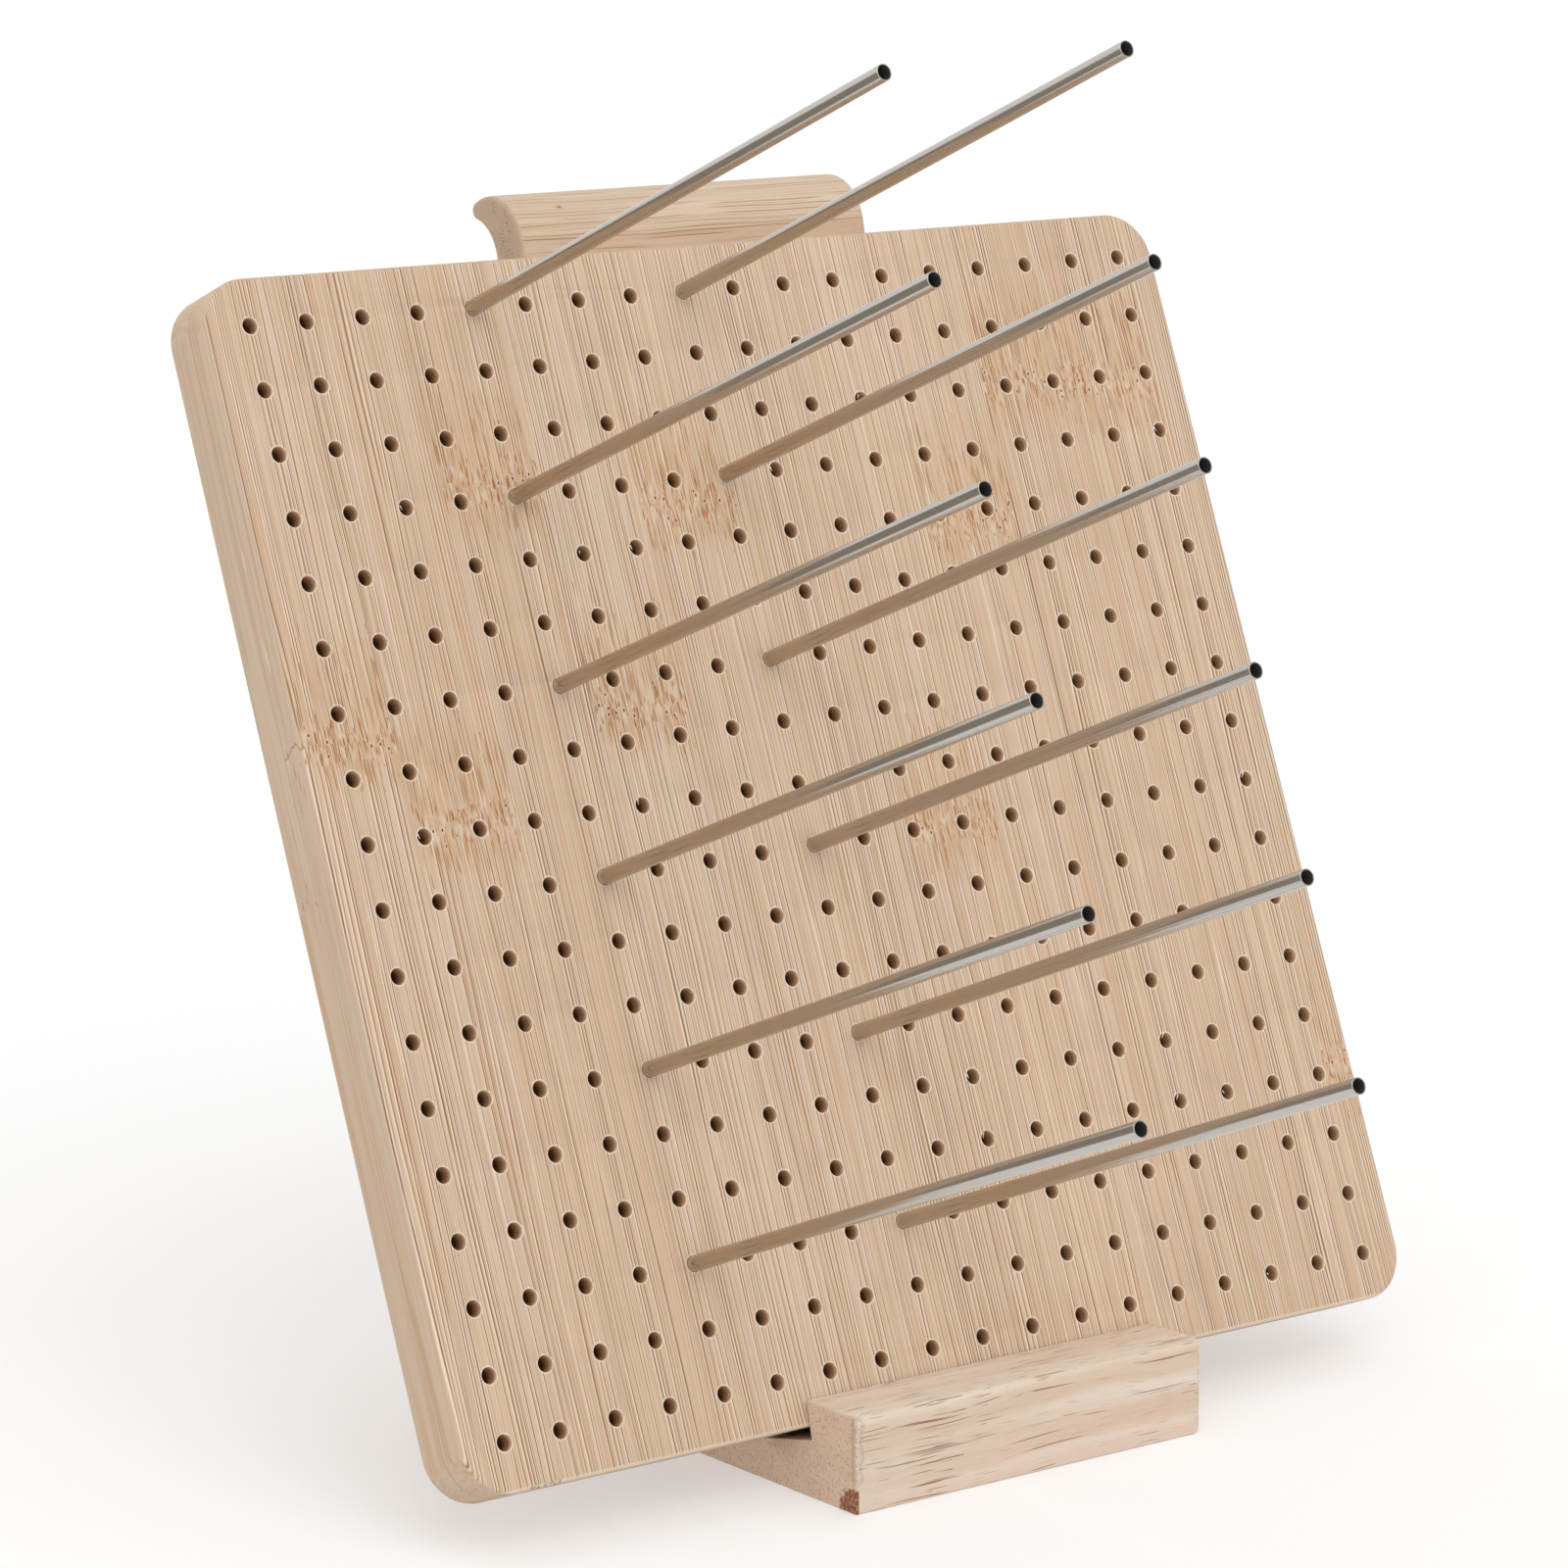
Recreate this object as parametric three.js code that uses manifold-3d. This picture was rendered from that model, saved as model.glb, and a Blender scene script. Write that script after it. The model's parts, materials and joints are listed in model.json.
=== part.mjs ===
// A blocking board for knitting and crochet: a drilled bamboo board that leans in a wooden stand,
// with steel tubes plugged into its holes to hold a stretched piece of work.
// Millimetres, +Z up, the front towards -Y. The origin is the middle of the stand's underside.

import * as THREE from 'three';
import { mergeGeometries, mergeVertices } from 'three/addons/utils/BufferGeometryUtils.js';
import Module from 'manifold-3d';

// The drilled grid: half an inch from hole to hole, the same on both sides of the board.
const HOLE_PITCH = 12.7;
const HOLES_PER_SIDE = 18;
const HOLE_DEPTH = 10.8;
const HOLE_SIDES = 8;

// The board around the grid.
const BOARD_MARGIN = 9.55;
const BOARD_THICKNESS = 14.5;
const BOARD_CORNER_RADIUS = 10;
const BOARD_EDGE_EASE = 0.8;
const BOARD_LEAN = 22;
const BOARD_OFFSET_X = -4.5;

// The steel tubes, and the holes they stand in, counted from the top left hole as 1.
const TUBE_LENGTH = 150;
const TUBE_OUTER_DIAMETER = 3.2;
const TUBE_WALL = 0.25;
const TUBE_FIT = 0.15;
const TUBE_SIDES = 12;
const TUBE_COLUMNS = [5, 9];
const TUBE_FIRST_ROW = 1;
const TUBE_ROW_STEP = 3;
const TUBES_PER_COLUMN = 6;
const TUBE_FOOT_GAP = 0.3;
const RAISED_TUBE = { row: 1, column: 9, lift: 6.5 };

// The stand's base: a block with two slots that lean back, one for the board, one for the backrest.
const BASE_WIDTH = 88;
const BASE_DEPTH = 105;
const BASE_HEIGHT = 19;
const BASE_EDGE_EASE = 0.8;
const BASE_TOP_ROUND = 1.6;
const SLOT_TILT = 12;
const LIP_DEPTH = 15.6;
const BOARD_SLOT_WIDTH = 16.5;
const BOARD_SLOT_DEPTH = 7.7;
const BACKREST_SLOT_DEPTH = 10;

// The backrest: a plate on the same slant, its top rolled back over a hollow.
const BACKREST_WIDTH = 87;
const BACKREST_OFFSET_X = 6.5;
const BACKREST_THICKNESS = 9.5;
const BACKREST_EDGE_EASE = 0.8;
const CREST_RISE = 17.5;
const CREST_RADIUS = 11;
const CREST_HOLLOW_RADIUS = 9.4;
const CREST_HOLLOW_DROP = 1.6;
const CREST_NOSE_RADIUS = 1.8;

// The gap that wood keeps to the wood it rests on.
const SEAT_GAP = 0.3;

// Points along each rounded stretch of an outline.
const ARC_POINTS = 10;
const CORNER_POINTS = 6;
const EDGE_POINTS = 3;

const radians = THREE.MathUtils.degToRad;
const wasm = await Module();
wasm.setup();

const boardSide = (HOLES_PER_SIDE - 1) * HOLE_PITCH + 2 * BOARD_MARGIN;
const holeDiameter = TUBE_OUTER_DIAMETER + 2 * TUBE_FIT;

// The slot frame: Y runs back along the board slot's floor, Z up its front wall, and its
// origin is the corner between them. The board leans further back than the slot does.
const tilt = radians(SLOT_TILT);
const play = radians(BOARD_LEAN - SLOT_TILT);
const slotCorner = new THREE.Vector2(
  -BASE_DEPTH / 2 + LIP_DEPTH - BOARD_SLOT_DEPTH * Math.sin(tilt),
  BASE_HEIGHT - BOARD_SLOT_DEPTH * Math.cos(tilt),
);

// The board stands on its rear bottom edge, its front bottom edge against the slot's front wall.
const boardFoot = new THREE.Vector2(
  SEAT_GAP - BOARD_EDGE_EASE * Math.sin(play),
  SEAT_GAP + (BOARD_THICKNESS - BOARD_EDGE_EASE) * Math.sin(play),
);

// Its rear top edge leans on the backrest.
const boardBack = boardFoot.x + (boardSide - BOARD_EDGE_EASE) * Math.sin(play)
  + BOARD_THICKNESS * Math.cos(play);
const boardTop = boardFoot.y + boardSide * Math.cos(play) - BOARD_THICKNESS * Math.sin(play);
const backrestFront = boardBack + SEAT_GAP;
const backrestBack = backrestFront + BACKREST_THICKNESS;
const backrestFoot = topOfBaseAt(backrestFront) - BACKREST_SLOT_DEPTH + SEAT_GAP;

// Height in the slot frame at which the base's top meets a line that stands at y.
function topOfBaseAt(y) {
  return (BASE_HEIGHT - slotCorner.y + y * Math.sin(tilt)) / Math.cos(tilt);
}

// A point of the slot frame, seen in the base's own section.
function fromSlot(y, z) {
  return new THREE.Vector2(y, z).rotateAround(new THREE.Vector2(), -tilt).add(slotCorner);
}

function toSolid(geometry) {
  const bare = geometry.clone();
  bare.deleteAttribute('normal');
  bare.deleteAttribute('uv');
  const merged = mergeVertices(bare, 1e-4);
  return new wasm.Manifold(new wasm.Mesh({
    numProp: 3,
    vertProperties: new Float32Array(merged.attributes.position.array),
    triVerts: new Uint32Array(merged.index.array),
  }));
}

function toGeometry(solid) {
  const mesh = solid.getMesh();
  const geometry = new THREE.BufferGeometry();
  geometry.setAttribute('position', new THREE.BufferAttribute(mesh.vertProperties, 3));
  geometry.setIndex(new THREE.BufferAttribute(mesh.triVerts, 1));
  geometry.computeVertexNormals();
  return geometry;
}

// Extrudes an outline by a thickness, its edges eased, centred on the outline's own plane.
function easedExtrusion(outline, thickness, ease, curveSegments) {
  const geometry = new THREE.ExtrudeGeometry(outline, {
    depth: thickness - 2 * ease,
    bevelSize: ease,
    bevelOffset: -ease,
    bevelThickness: ease,
    bevelSegments: 1,
    curveSegments,
  });
  return geometry.translate(0, 0, ease - thickness / 2);
}

// Turns an extrusion so that its outline lies in the YZ plane and its thickness runs along X.
function acrossX(geometry) {
  return geometry.rotateZ(Math.PI / 2).rotateY(Math.PI / 2);
}

function wood(colour, roughness) {
  return new THREE.MeshStandardMaterial({ color: colour, roughness, metalness: 0 });
}

function steel() {
  return new THREE.MeshStandardMaterial({ color: 0xb9bcc0, roughness: 0.3, metalness: 1 });
}

function named(name, geometry, material) {
  const mesh = new THREE.Mesh(geometry, material);
  mesh.name = name;
  return mesh;
}

// A slot cut into the base's section, from its front wall's top to its rear wall's top.
function slotPoints(front, width, floor) {
  const rear = front + width;
  return [
    fromSlot(front, topOfBaseAt(front)),
    fromSlot(front, floor),
    fromSlot(rear, floor),
    fromSlot(rear, topOfBaseAt(rear)),
  ];
}

function standBase() {
  const halfDepth = BASE_DEPTH / 2;
  const roundY = halfDepth - BASE_TOP_ROUND;
  const roundZ = BASE_HEIGHT - BASE_TOP_ROUND;
  const boardSlot = slotPoints(0, BOARD_SLOT_WIDTH, 0);
  const backrestSlot = slotPoints(
    backrestFront - SEAT_GAP,
    BACKREST_THICKNESS + 2 * SEAT_GAP,
    backrestFoot - SEAT_GAP,
  );
  const outline = new THREE.Shape();
  outline.moveTo(-halfDepth, 0);
  outline.lineTo(-halfDepth, roundZ);
  outline.absarc(-roundY, roundZ, BASE_TOP_ROUND, Math.PI, Math.PI / 2, true);
  for (const point of [...boardSlot, ...backrestSlot]) {
    outline.lineTo(point.x, point.y);
  }
  outline.lineTo(roundY, BASE_HEIGHT);
  outline.absarc(roundY, roundZ, BASE_TOP_ROUND, Math.PI / 2, 0, true);
  outline.lineTo(halfDepth, 0);
  outline.closePath();
  const block = easedExtrusion(outline, BASE_WIDTH, BASE_EDGE_EASE, EDGE_POINTS);
  return named('stand_base', acrossX(block), wood(0xcdb48e, 0.6));
}

// The circle that joins the crest's outer round to its hollow: the nose at the crest's end.
function crestNose(crest, hollow) {
  const toHollow = hollow.clone().sub(crest);
  const apart = toHollow.length();
  const fromCrest = CREST_RADIUS - CREST_NOSE_RADIUS;
  const fromHollow = CREST_HOLLOW_RADIUS + CREST_NOSE_RADIUS;
  const along = (fromCrest ** 2 - fromHollow ** 2 + apart ** 2) / (2 * apart);
  const aside = Math.sqrt(fromCrest ** 2 - along ** 2);
  const forward = toHollow.divideScalar(apart);
  return new THREE.Vector2(
    crest.x + forward.x * along - forward.y * aside,
    crest.y + forward.y * along + forward.x * aside,
  );
}

function backrest() {
  const crest = new THREE.Vector2(
    backrestFront + CREST_RADIUS,
    boardTop + CREST_RISE - CREST_RADIUS,
  );
  const hollow = new THREE.Vector2(
    backrestBack + CREST_HOLLOW_RADIUS,
    crest.y - CREST_HOLLOW_DROP,
  );
  const nose = crestNose(crest, hollow);
  const crestEnd = nose.clone().sub(crest).angle();
  const hollowEnd = nose.clone().sub(hollow).angle();
  const outline = new THREE.Shape();
  outline.moveTo(backrestFront, backrestFoot);
  outline.lineTo(backrestFront, crest.y);
  outline.absarc(crest.x, crest.y, CREST_RADIUS, Math.PI, crestEnd, true);
  outline.absarc(nose.x, nose.y, CREST_NOSE_RADIUS, crestEnd, hollowEnd - Math.PI, true);
  outline.absarc(hollow.x, hollow.y, CREST_HOLLOW_RADIUS, hollowEnd, Math.PI, false);
  outline.lineTo(backrestBack, backrestFoot);
  const plate = easedExtrusion(outline, BACKREST_WIDTH, BACKREST_EDGE_EASE, ARC_POINTS);
  const mesh = named('backrest', acrossX(plate), wood(0xd3bd97, 0.6));
  mesh.position.x = BACKREST_OFFSET_X;
  return mesh;
}

// Places in the board's frame: X across, Y into the wood, Z up from the bottom edge.
function holePlace(column, row) {
  const corner = boardSide - BOARD_MARGIN;
  return new THREE.Vector3(
    (column - 1) * HOLE_PITCH + BOARD_MARGIN - boardSide / 2,
    0,
    corner - (row - 1) * HOLE_PITCH,
  );
}

// One bit for every hole, its flats at the hole's own radius so that a round tube passes.
function drillBits() {
  const proud = 1;
  const length = HOLE_DEPTH + proud;
  const cornerRadius = holeDiameter / 2 / Math.cos(Math.PI / HOLE_SIDES);
  const bit = new THREE.CylinderGeometry(cornerRadius, cornerRadius, length, HOLE_SIDES);
  bit.translate(0, HOLE_DEPTH - length / 2, 0);
  const bits = [];
  for (let row = 1; row <= HOLES_PER_SIDE; row += 1) {
    for (let column = 1; column <= HOLES_PER_SIDE; column += 1) {
      const place = holePlace(column, row);
      bits.push(bit.clone().translate(place.x, place.y, place.z));
    }
  }
  return mergeGeometries(bits);
}

function roundedSquare(side, radius) {
  const straight = side / 2 - radius;
  const outline = new THREE.Shape();
  outline.absarc(straight, straight, radius, 0, Math.PI / 2);
  outline.absarc(-straight, straight, radius, Math.PI / 2, Math.PI);
  outline.absarc(-straight, -straight, radius, Math.PI, 1.5 * Math.PI);
  outline.absarc(straight, -straight, radius, 1.5 * Math.PI, 2 * Math.PI);
  outline.closePath();
  return outline;
}

function board() {
  const outline = roundedSquare(boardSide, BOARD_CORNER_RADIUS);
  const slab = easedExtrusion(outline, BOARD_THICKNESS, BOARD_EDGE_EASE, CORNER_POINTS);
  slab.rotateX(Math.PI / 2).translate(0, BOARD_THICKNESS / 2, boardSide / 2);
  const drilled = toSolid(slab).subtract(toSolid(drillBits()));
  return named('board', toGeometry(drilled), wood(0xcfae7c, 0.55));
}

// A tube open at both ends, its foot at Y = 0 and its mouth out in front of the board.
function tubeGeometry() {
  const outer = TUBE_OUTER_DIAMETER / 2;
  const inner = outer - TUBE_WALL;
  const section = [
    new THREE.Vector2(inner, -TUBE_LENGTH),
    new THREE.Vector2(outer, -TUBE_LENGTH),
    new THREE.Vector2(outer, 0),
    new THREE.Vector2(inner, 0),
    new THREE.Vector2(inner, -TUBE_LENGTH),
  ];
  return new THREE.LatheGeometry(section, TUBE_SIDES);
}

function tubes() {
  const geometry = tubeGeometry();
  const seated = HOLE_DEPTH - TUBE_FOOT_GAP;
  const meshes = [];
  for (let i = 0; i < TUBES_PER_COLUMN; i += 1) {
    const row = TUBE_FIRST_ROW + i * TUBE_ROW_STEP;
    for (const column of TUBE_COLUMNS) {
      const mesh = named(`tube_row_${row}_column_${column}`, geometry, steel());
      const raised = row === RAISED_TUBE.row && column === RAISED_TUBE.column;
      mesh.position.copy(holePlace(column, row));
      mesh.position.y = seated - (raised ? RAISED_TUBE.lift : 0);
      meshes.push(mesh);
    }
  }
  return meshes;
}

const boardGroup = new THREE.Group();
boardGroup.position.set(BOARD_OFFSET_X, boardFoot.x, boardFoot.y);
boardGroup.rotation.x = -play;
boardGroup.add(board(), ...tubes());

const slotGroup = new THREE.Group();
slotGroup.position.set(0, slotCorner.x, slotCorner.y);
slotGroup.rotation.x = -tilt;
slotGroup.add(backrest(), boardGroup);

const blockingBoard = new THREE.Group();
blockingBoard.add(standBase(), slotGroup);

export default blockingBoard;
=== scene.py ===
# A blocking board for knitting and crochet: a drilled bamboo board that leans in a wooden stand,
# with steel tubes plugged into its holes. Everything is in metres, with +Z up and the front to -Y.
import json
import math

import bmesh
import bpy
from mathutils import Matrix, Quaternion, Vector


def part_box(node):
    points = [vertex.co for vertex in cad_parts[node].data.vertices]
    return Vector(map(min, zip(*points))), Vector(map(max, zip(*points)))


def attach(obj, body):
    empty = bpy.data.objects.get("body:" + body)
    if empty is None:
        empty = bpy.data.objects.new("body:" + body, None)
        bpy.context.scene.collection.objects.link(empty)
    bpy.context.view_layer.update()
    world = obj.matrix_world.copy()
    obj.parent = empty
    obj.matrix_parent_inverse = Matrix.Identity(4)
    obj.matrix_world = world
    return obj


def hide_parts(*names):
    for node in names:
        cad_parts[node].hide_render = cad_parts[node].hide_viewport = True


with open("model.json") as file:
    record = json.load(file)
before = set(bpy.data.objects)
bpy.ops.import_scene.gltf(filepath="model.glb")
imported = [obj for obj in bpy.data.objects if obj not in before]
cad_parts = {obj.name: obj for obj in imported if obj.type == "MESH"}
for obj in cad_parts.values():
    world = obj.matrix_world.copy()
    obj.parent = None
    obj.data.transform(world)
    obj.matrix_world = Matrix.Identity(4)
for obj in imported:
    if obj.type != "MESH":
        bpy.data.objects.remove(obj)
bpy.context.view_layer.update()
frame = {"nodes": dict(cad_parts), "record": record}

# The stand's base is a block of planed pale hardwood with its pores along its width. Two slots
# that lean back are sawn across its top, one for the board and one for the backrest. Its right end
# is rounded over in front and below. Its left end keeps torn fibres and a scrap of bark.
MM = 0.001
slot_tilt = math.radians(12)
lip_depth = 15.6 * MM
lip_round = 1.6 * MM
board_slot_width = 16.5 * MM
board_slot_depth = 7.7 * MM
backrest_thickness = 9.5 * MM
seat_gap = 0.3 * MM
base_right_round = 3.0 * MM
base_right_ease = 1.0 * MM
base_left_ease = 0.25 * MM
base_long_ease = 0.4 * MM
arc_steps = 12
broad_face = 20 * MM ** 2
crease = math.radians(30)
bark_size = (4.0, 5.2, 5.0)
torn_low = 6 * MM
torn_high = 20 * MM
torn_reach = 1.2 * MM
torn_curl = 0.42 * MM
torn_thickness = 0.07 * MM
torn_tuft = 1.4 * MM
torn_bend = math.radians(80)
torn_curls = 420
tuft_level = 0.53


def slanted(corner, back, up):
    """A point of the stand's section, measured from a corner along the slots' floor and wall."""
    return Vector((
        corner.x + back * math.cos(slot_tilt) + up * math.sin(slot_tilt),
        corner.y - back * math.sin(slot_tilt) + up * math.cos(slot_tilt),
    ))


def arc(centre, radius, start, end):
    """Points of an arc in the stand's section, its angles in degrees."""
    turns = [math.radians(start + (end - start) * i / arc_steps) for i in range(arc_steps + 1)]
    return [centre + radius * Vector((math.cos(t), math.sin(t))) for t in turns]


def drawn_in(radius, from_end):
    """How far a side that is rounded over at its end is drawn in, this far from the end."""
    rest = max(radius - from_end, 0)
    return radius - math.sqrt(radius ** 2 - rest ** 2)


def end_rings(end, inward, section, *radii):
    """Rings of a piece that is rounded over at an end, from where the round starts to the end. Its
    section is drawn in by one amount for each radius."""
    rings = []
    for i in range(arc_steps + 1):
        from_end = radii[0] * (1 - math.sin(math.radians(90) * i / arc_steps))
        insets = [drawn_in(radius, from_end) for radius in radii]
        rings.append((end + inward * from_end, section(*insets)))
    return rings


def placed(name, data):
    """A new object in the scene."""
    made = bpy.data.objects.new(name, data)
    bpy.context.scene.collection.objects.link(made)
    return made


def lofted(name, rings):
    """A piece that runs through rings of points, each an X and a section, closed at both ends."""
    bm = bmesh.new()
    loops = [[bm.verts.new((x, p.x, p.y)) for p in section] for x, section in rings]
    for near, far in zip(loops, loops[1:]):
        for i, vert in enumerate(near):
            bm.faces.new((near[i - 1], far[i - 1], far[i], vert))
    bm.faces.new(loops[0])
    bm.faces.new(reversed(loops[-1]))
    bmesh.ops.recalc_face_normals(bm, faces=bm.faces)
    mesh = bpy.data.meshes.new(name)
    bm.to_mesh(mesh)
    bm.free()
    mesh.set_sharp_from_angle(angle=crease)
    for face in mesh.polygons:
        face.use_smooth = face.area < broad_face
    return placed(name, mesh)


base_low, base_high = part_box("stand_base")
rest_low, rest_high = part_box("backrest")
slot_corner = Vector((
    base_low.y + lip_depth - board_slot_depth * math.sin(slot_tilt),
    base_high.z - board_slot_depth * math.cos(slot_tilt),
))
rest_foot = Vector((rest_low.y, rest_low.z + backrest_thickness * math.sin(slot_tilt)))


def sawn_slot(front_floor, width, top):
    """The four corners of a slot, from its front wall's top down, across and up again."""
    rear_floor = slanted(front_floor, width, 0)
    rise = 1 / math.cos(slot_tilt)
    return [
        slanted(front_floor, 0, (top - front_floor.y) * rise),
        front_floor,
        rear_floor,
        slanted(rear_floor, 0, (top - rear_floor.y) * rise),
    ]


def base_section(front, rear):
    """The base's section, its front and underside drawn in by one amount, its top and back by
    another."""
    low = Vector((base_low.y + front, base_low.z + front))
    high = Vector((base_high.y - rear, base_high.z - rear))
    edge = base_long_ease
    return [
        *arc(Vector((low.x + edge, low.y + edge)), edge, 270, 180),
        *arc(Vector((low.x + lip_round, high.y - lip_round)), lip_round, 180, 90),
        *sawn_slot(slot_corner, board_slot_width, high.y),
        *sawn_slot(slanted(rest_foot, -seat_gap, -seat_gap), backrest_thickness + 2 * seat_gap, high.y),
        *arc(Vector((high.x - lip_round, high.y - lip_round)), lip_round, 90, 0),
        *arc(Vector((high.x - edge, low.y + edge)), edge, 0, -90),
    ]


left_rings = end_rings(base_low.x, 1, base_section, base_left_ease, base_left_ease)
right_rings = end_rings(base_high.x, -1, base_section, base_right_round, base_right_ease)
base = lofted("base", left_rings[::-1] + right_rings)


def srgb(red, green, blue):
    """A colour as a paint chart gives it, 0 to 255, turned to linear light."""
    linear = [((c / 255 + 0.055) / 1.055) ** 2.4 for c in (red, green, blue)]
    return (*linear, 1.0)


def add(tree, kind, inputs=(), **settings):
    """A new node: its settings by name, its inputs by name or number, each linked or set."""
    made = tree.nodes.new(kind)
    for name, value in settings.items():
        setattr(made, name, value)
    for key, value in dict(inputs).items():
        if isinstance(value, bpy.types.NodeSocket):
            tree.links.new(value, made.inputs[key])
        else:
            made.inputs[key].default_value = value
    return made


def maths(tree, operation, first, second=0.0, third=0.0):
    """One sum on one, two or three numbers."""
    numbers = {0: first, 1: second, 2: third}
    return add(tree, "ShaderNodeMath", numbers, operation=operation).outputs[0]


def plus(tree, first, second):
    """One number and another."""
    return maths(tree, "ADD", first, second)


def minus(tree, first, second):
    """One number less another."""
    return maths(tree, "SUBTRACT", first, second)


def times(tree, product, *others):
    """Several numbers times one another."""
    for other in others:
        product = maths(tree, "MULTIPLY", product, other)
    return product


def times_plus(tree, first, second, third):
    """One number times another, and a third on top."""
    return maths(tree, "MULTIPLY_ADD", first, second, third)


def larger(tree, first, second):
    """The larger of two numbers."""
    return maths(tree, "MAXIMUM", first, second)


def between(tree, first, second):
    """How far apart two numbers are."""
    return maths(tree, "ABSOLUTE", minus(tree, first, second))


def fade(tree, value, start, end):
    """A soft step: 0 where the value is at start and 1 where it is at end."""
    edges = {"Value": value, "From Min": start, "From Max": end}
    return add(tree, "ShaderNodeMapRange", edges, interpolation_type="SMOOTHSTEP").outputs[0]


def vector_maths(tree, operation, first, second, third=(0, 0, 0)):
    """One sum on two or three vectors."""
    vectors = {0: first, 1: second, 2: third}
    return add(tree, "ShaderNodeVectorMath", vectors, operation=operation).outputs[0]


def stretched(tree, vector, factor):
    """A vector or a colour times a number."""
    return add(tree, "ShaderNodeVectorMath", {0: vector, "Scale": factor}, operation="SCALE").outputs[0]


def length(tree, vector):
    """How long a vector is."""
    return add(tree, "ShaderNodeVectorMath", {0: vector}, operation="LENGTH").outputs["Value"]


def apart(tree, place):
    """The three numbers of a place."""
    return add(tree, "ShaderNodeSeparateXYZ", {0: place}).outputs


def point(tree, x, y, z=0.0):
    """A place from its three numbers."""
    return add(tree, "ShaderNodeCombineXYZ", {0: x, 1: y, 2: z}).outputs[0]


def noise(tree, place, size, detail=2.0, roughness=0.5):
    """Noise as a number from 0 to 1 and as a colour, its grains so many millimetres along each axis."""
    scaled = vector_maths(tree, "DIVIDE", place, size)
    settings = {"Vector": scaled, "Scale": 1.0, "Detail": detail, "Roughness": roughness}
    return add(tree, "ShaderNodeTexNoise", settings).outputs


def grains(tree, place, size, detail=2.0, roughness=0.5):
    """Noise as a number from 0 to 1."""
    return noise(tree, place, size, detail, roughness)[0]


def cells(tree, place, size, across="3D"):
    """Scattered cells of this size in millimetres: how far from its middle a place is, in cells, and
    a random number for the cell."""
    scaled = vector_maths(tree, "DIVIDE", place, size)
    made = add(tree, "ShaderNodeTexVoronoi", {"Vector": scaled, "Scale": 1.0}, voronoi_dimensions=across)
    return made.outputs["Distance"], apart(tree, made.outputs["Color"])[0]


def dashes(tree, grain, size, reach, share):
    """Lens-shaped marks in a share of the cells of this size, each reaching so far in its cell."""
    distance, number = cells(tree, grain, size)
    chosen = maths(tree, "LESS_THAN", number, share)
    return times(tree, fade(tree, distance, reach, reach * 0.55), chosen)


def dyed(tree, amount, under, over):
    """One colour laid over another by an amount from 0 to 1."""
    return add(tree, "ShaderNodeMix", {0: amount, 6: under, 7: over}, data_type="RGBA").outputs[2]


def stained(tree, colour, amount, strength, stain):
    """A colour under a stain, as far as an amount from 0 to 1 and the stain's strength say."""
    return dyed(tree, times(tree, amount, strength), colour, stain)


def mottled(tree, colour, *patterns):
    """A colour made lighter and darker by patterns from 0 to 1, each by up to its own amount."""
    for pattern, amount in patterns:
        factor = times_plus(tree, minus(tree, pattern, 0.5), 2 * amount, 1.0)
        colour = stretched(tree, colour, factor)
    return colour


def places(tree, turn=0.0, centre=Vector()):
    """Places on the piece in millimetres from the centre, in a frame turned about X."""
    here = add(tree, "ShaderNodeTexCoord").outputs["Object"]
    shift = Matrix.Rotation(turn, 3, "X") @ (centre * -1000)
    settings = {"Vector": here, "Scale": (1000,) * 3, "Rotation": (turn, 0, 0), "Location": shift}
    return add(tree, "ShaderNodeMapping", settings).outputs[0]


def new_material(surface):
    """A material that has the name of the function that makes its surface."""
    made = bpy.data.materials.new(surface.__name__)
    made.use_nodes = True
    made.node_tree.nodes.clear()
    add(made.node_tree, "ShaderNodeOutputMaterial", {0: surface(made.node_tree)})
    return made


def textured(tree, height, values):
    """A surface with these values and a height in millimetres."""
    bump = add(tree, "ShaderNodeBump", {"Height": height, "Distance": MM}).outputs[0]
    return add(tree, "ShaderNodeBsdfPrincipled", {**values, "Normal": bump}).outputs[0]


def bare_wood(tree, colour, roughness, height):
    """The surface of unvarnished wood."""
    values = {"Base Color": colour, "Roughness": roughness, "Specular IOR Level": 0.3}
    return textured(tree, height, values)


def end_mask(tree, x, low, high, reach):
    """1 on a piece's two ends and 0 between them, from where its long sides stop along X."""
    middle = (low + high) / 2 / MM
    half = (high - low) / 2 / MM
    off = between(tree, x, middle)
    return fade(tree, off, half - reach, half - reach / 3)


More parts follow.
